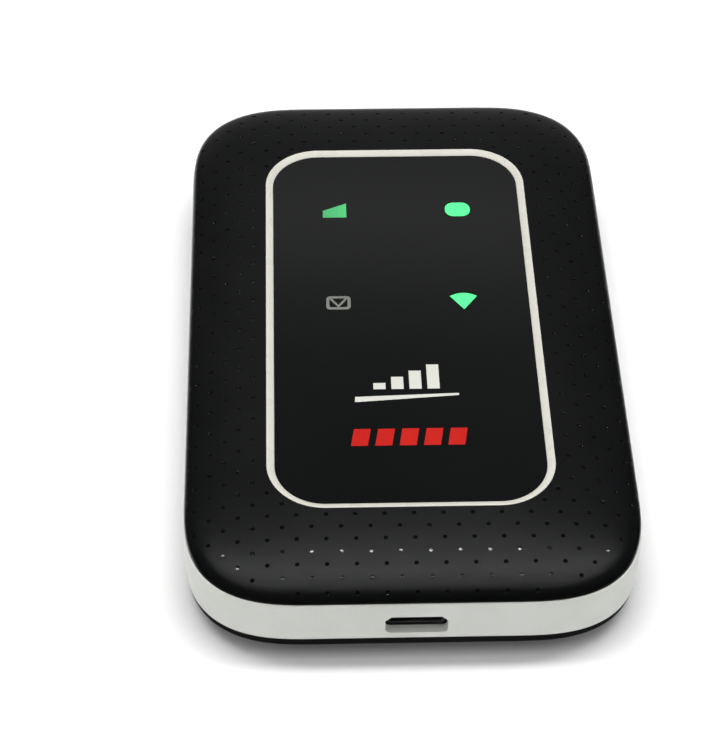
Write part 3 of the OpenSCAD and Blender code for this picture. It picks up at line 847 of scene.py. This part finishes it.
COVER_EDGE = 0.8
NOTCH_R = 1.0
NOTCH_W = 10.0
NOTCH_OUT = 0.15
NOTCH_UP = 0.1
TAB_W = 4.0
TAB_T = 1.1
TAB_R = 0.25
TAB_LOW = 2.2
TAB_GAP = 0.15
SIDE_TABS = (-24, 0, 24)
END_TABS = (-11, 11)


def cover_ring(a, inset, depth, floor_z, run):
    """One outline of the rear cover, at angle a round its curved edge."""
    drawn = inset + run * (1 - math.cos(a))
    return at_height(
        outline(
            SHELL_W - 2 * drawn, SHELL_L - 2 * drawn,
            CORNER_R - inset - run * (1 - math.cos(a)) / 2, CORNER_POWER,
        ),
        floor_z + depth * (1 - math.sin(a)),
    )


def build_rear_cover():
    """Black clip-on cover: a shallow bowl with a flat underside and upright tabs."""
    rim_z = BAND_LOW[2]
    steps = np.linspace(0, math.pi / 2, 25)
    rings = [cover_ring(a, 0, rim_z - COVER_EDGE, 0, COVER_INSET) for a in steps[::-1]]
    rings.append(at_height(outline(SHELL_W, SHELL_L, CORNER_R, CORNER_POWER), rim_z))
    inner_run = COVER_INSET - 0.4
    rings += [cover_ring(a, COVER_WALL, rim_z - COVER_WALL, COVER_WALL, inner_run) for a in steps]
    verts, faces = loft(rings, caps=True)
    turns = np.linspace(0, 2 * math.pi, 33)[:-1]
    notch = [(NOTCH_R * math.cos(a), NOTCH_R * math.sin(a)) for a in turns]
    ends = [
        np.array([[x, SHELL_L / 2 + NOTCH_OUT + u, rim_z + NOTCH_UP + v] for u, v in notch])
        for x in (-NOTCH_W / 2, NOTCH_W / 2)
    ]
    verts, faces = cut_with(verts, faces, [loft(ends, caps=True)])
    verts, faces = list(verts), list(faces)
    for low, high in tab_boxes():
        start = len(verts)
        w, l = (high - low)[:2]
        middle = (low + high)[:2] / 2
        ring = outline_small(w, l, TAB_R)
        tab_verts, tab_faces = loft([
            at_height(ring + middle, low[2]),
            at_height(ring + middle, high[2] - TAB_R),
            at_height(ring * 0.86 + middle, high[2]),
        ], caps=True)
        verts.extend(tab_verts)
        faces.extend(tuple(start + i for i in face) for face in tab_faces)
    make_piece(
        "rear_cover_smooth", verts, faces, MATERIALS["cover_black"],
        "rear_cover", replaces=["rear_cover"], sharp=40,
    )


def outline_small(w, l, r, steps=4):
    """Rounded rectangle with few points, for small parts."""
    points = []
    for k, (sx, sy) in enumerate([(1, 1), (-1, 1), (-1, -1), (1, -1)]):
        for a in np.linspace(k * math.pi / 2, (k + 1) * math.pi / 2, steps + 1):
            points.append([sx * (w / 2 - r) + r * math.cos(a), sy * (l / 2 - r) + r * math.sin(a)])
    return np.array(points)


def tab_boxes():
    """Low and high corners of the cover's upright tabs."""
    x = BAND_W / 2 - BAND_WALL - TAB_GAP - TAB_T / 2
    y = BAND_L / 2 - BAND_WALL - TAB_GAP - TAB_T / 2
    spots = [(side * x, place, TAB_T, TAB_W) for side in (-1, 1) for place in SIDE_TABS]
    spots += [(place, side * y, TAB_W, TAB_T) for side in (-1, 1) for place in END_TABS]
    boxes = []
    for middle_x, middle_y, w, l in spots:
        low = np.array([middle_x - w / 2, middle_y - l / 2, TAB_LOW])
        high = np.array([middle_x + w / 2, middle_y + l / 2, COVER_TOP])
        boxes.append((low, high))
    return boxes


# ---------------------------------------------------------------- stage

# Camera: distance, target, lens and sensor are in millimetres
CAMERA_AZIMUTH = math.radians(-2.14)
CAMERA_ELEVATION = math.radians(45.9)
CAMERA_ROLL = math.radians(0.75)
CAMERA_DISTANCE = 328.15
CAMERA_TARGET = (-6.88, -11.83)
CAMERA_LENS = 113.45
CAMERA_SENSOR = 36
# Half the side of the square floor, in metres
FLOOR_HALF = 3.0


def build_camera():
    """Camera at the height and angle that the object is seen from."""
    az, el, roll = CAMERA_AZIMUTH, CAMERA_ELEVATION, CAMERA_ROLL
    back = Vector((math.sin(az) * math.cos(el), -math.cos(az) * math.cos(el), math.sin(el)))
    right = Vector((math.cos(az), math.sin(az), 0))
    up = back.cross(right)
    right_rolled = math.cos(roll) * right + math.sin(roll) * up
    up_rolled = back.cross(right_rolled)
    place = (Vector((*CAMERA_TARGET, RING_TOP)) + back * CAMERA_DISTANCE) * MM
    data = bpy.data.cameras.new("camera")
    data.lens = CAMERA_LENS
    data.sensor_width = CAMERA_SENSOR
    data.clip_start, data.clip_end = 0.01, 20
    camera = bpy.data.objects.new("camera", data)
    bpy.context.scene.collection.objects.link(camera)
    axes = Matrix((right_rolled, up_rolled, back)).transposed().to_4x4()
    camera.matrix_world = Matrix.Translation(place) @ axes
    bpy.context.scene.camera = camera


def build_floor():
    """White floor, clear from below so that the underside can be seen."""
    n = Nodes("floor_white")
    n.link(
        n.ramp(n.noise(3, detail=2), (0.85, 0.85, 0.85), (0.87, 0.87, 0.87)),
        n.shader.inputs["Base Color"],
    )
    n.set(Roughness=0.9)
    side = n.add("ShaderNodeNewGeometry")
    clear = n.add("ShaderNodeBsdfTransparent")
    one_sided = n.add("ShaderNodeMixShader")
    n.link(side.outputs["Backfacing"], one_sided.inputs["Fac"])
    n.link(n.shader.outputs["BSDF"], one_sided.inputs[1])
    n.link(clear.outputs["BSDF"], one_sided.inputs[2])
    n.link(one_sided.outputs["Shader"], n.tree.nodes["Material Output"].inputs["Surface"])
    corners = [(x * FLOOR_HALF, y * FLOOR_HALF, 0) for x, y in ((-1, -1), (1, -1), (1, 1), (-1, 1))]
    mesh = bpy.data.meshes.new("floor")
    mesh.from_pydata(corners, [], [(0, 1, 2, 3)])
    mesh.materials.append(n.material)
    floor = bpy.data.objects.new("floor", mesh)
    bpy.context.scene.collection.objects.link(floor)
    floor.visible_glossy = False


def area_light(name, place, aim, size, power, in_gloss):
    """Soft box. Out of gloss, it lights surfaces but shows in no reflection."""
    data = bpy.data.lights.new(name, "AREA")
    data.shape = "RECTANGLE"
    data.size, data.size_y = size
    data.energy = power
    light = bpy.data.objects.new(name, data)
    bpy.context.scene.collection.objects.link(light)
    light.location = place
    toward = Vector(aim) - Vector(place)
    light.rotation_euler = toward.to_track_quat("-Z", "Y").to_euler()
    light.visible_glossy = in_gloss


# World light by sine of elevation: the backdrop behind, and a soft pane that the window mirrors.
# Each fades out between two distances to the side, and both come in over BEHIND.
ROOM_LEVEL = 0.014
BACKDROP = [(0.0, 0.25), (0.30, 0.22), (0.45, 0.09), (0.60, 0.03), (1.0, 0.01)]
BACKDROP_SIDE = (0.25, 0.70)
PANE = [
    (0.58, 0.0), (0.645, 0.20), (0.668, 0.36), (0.682, 0.28), (0.70, 0.12), (0.73, 0.05), (0.80, 0.0),
]
PANE_SIDE = (0.10, 0.34)
BEHIND = (0.0, 0.6)


def build_world():
    """Dark studio with a pale backdrop behind the object and a soft pane of light above it."""
    world = bpy.data.worlds.new("studio")
    bpy.context.scene.world = world
    world.use_nodes = True
    tree = world.node_tree
    place = tree.nodes.new("ShaderNodeTexCoord")
    split = tree.nodes.new("ShaderNodeSeparateXYZ")
    tree.links.new(place.outputs["Generated"], split.inputs["Vector"])

    def levels(stops):
        ramp = tree.nodes.new("ShaderNodeValToRGB")
        elements = ramp.color_ramp.elements
        while len(elements) < len(stops):
            elements.new(0.5)
        for element, (position, level) in zip(elements, stops):
            element.position = position
            element.color = (level, level, level, 1)
        tree.links.new(split.outputs["Z"], ramp.inputs["Fac"])
        return ramp.outputs["Color"]

    def fade(source, start, end):
        spread = tree.nodes.new("ShaderNodeMapRange")
        spread.interpolation_type = "SMOOTHSTEP"
        spread.inputs["From Min"].default_value = start
        spread.inputs["From Max"].default_value = end
        tree.links.new(source, spread.inputs["Value"])
        return spread.outputs["Result"]

    def math_node(operation, *sources):
        node = tree.nodes.new("ShaderNodeMath")
        node.operation = operation
        for source, target in zip(sources, node.inputs):
            tree.links.new(source, target)
        return node.outputs["Value"]

    behind = fade(split.outputs["Y"], *BEHIND)
    aside = math_node("ABSOLUTE", split.outputs["X"])

    def patch(stops, side):
        light = math_node("MULTIPLY", levels(stops), behind)
        return math_node("SUBTRACT", light, math_node("MULTIPLY", light, fade(aside, *side)))

    total = math_node("ADD", patch(BACKDROP, BACKDROP_SIDE), patch(PANE, PANE_SIDE))
    background = tree.nodes["Background"]
    room = tree.nodes.new("ShaderNodeBackground")
    room.inputs["Color"].default_value = (ROOM_LEVEL, ROOM_LEVEL, ROOM_LEVEL, 1)
    both = tree.nodes.new("ShaderNodeAddShader")
    background.inputs["Color"].default_value = (1, 1, 1, 1)
    tree.links.new(total, background.inputs["Strength"])
    tree.links.new(background.outputs["Background"], both.inputs[0])
    tree.links.new(room.outputs["Background"], both.inputs[1])
    tree.links.new(both.outputs["Shader"], tree.nodes["World Output"].inputs["Surface"])


# Ceiling tubes: elevation from the +Y horizon in degrees, radiance times width in degrees, length
TUBES = [
    (65.78, 7.0, 1.0), (74.5, 12.5, 1.5), (81.29, 6.0, 1.0),
    (92.0, 9.5, 1.5), (104.0, 6.0, 1.1), (118.0, 2.5, 1.1),
]
TUBE_AIM = (0, -0.0429, 0.0144)
TUBE_FAR = 1.0
TUBE_WIDTH = 0.0035
# Soft boxes: name, place, target, size, watts and whether reflections show it
SOFT_BOXES = [
    ("key_over", (0, 0.15, 1.18), (0, -0.05, 0), (1.4, 0.16), 11.0, False),
    ("fill_top", (0, 0.2, 1.5), (0, 0, 0), (2.4, 2.4), 14.5, False),
    ("fill_front", (0, -1.2, 0.5), (0, 0, 0), (1.6, 0.8), 1.9, False),
    ("below_behind", (0, 0.8, -0.6), (0, 0, 0), (1.8, 1.0), 5.0, True),
    ("below_ahead", (0, -0.8, -0.6), (0, 0, 0), (1.8, 1.0), 9.0, False),
    ("fill_left", (-1.2, -0.2, 0.5), (0, 0, 0), (1.6, 0.8), 4.4, False),
    ("fill_right", (1.2, -0.2, 0.5), (0, 0, 0), (1.6, 0.8), 4.2, False),
]


def build_lights():
    """Long thin ceiling tubes across the object, and the soft boxes round it."""
    aim = Vector(TUBE_AIM)
    width = math.degrees(TUBE_WIDTH / TUBE_FAR)
    for angle, level, length in TUBES:
        a = math.radians(angle)
        place = aim + TUBE_FAR * Vector((0, math.cos(a), math.sin(a)))
        power = level / width * math.pi * length * TUBE_WIDTH
        area_light(f"tube_{angle}", place, aim, (length, TUBE_WIDTH), power, True)
    for box in SOFT_BOXES:
        area_light(*box)


dress_cad_nodes()
soften_cad_parts()
build_top_shell()
build_bezel_ring()
build_side_band()
build_rear_cover()
build_camera()
build_floor()
build_world()
build_lights()
bpy.context.scene.view_settings.view_transform = "Standard"
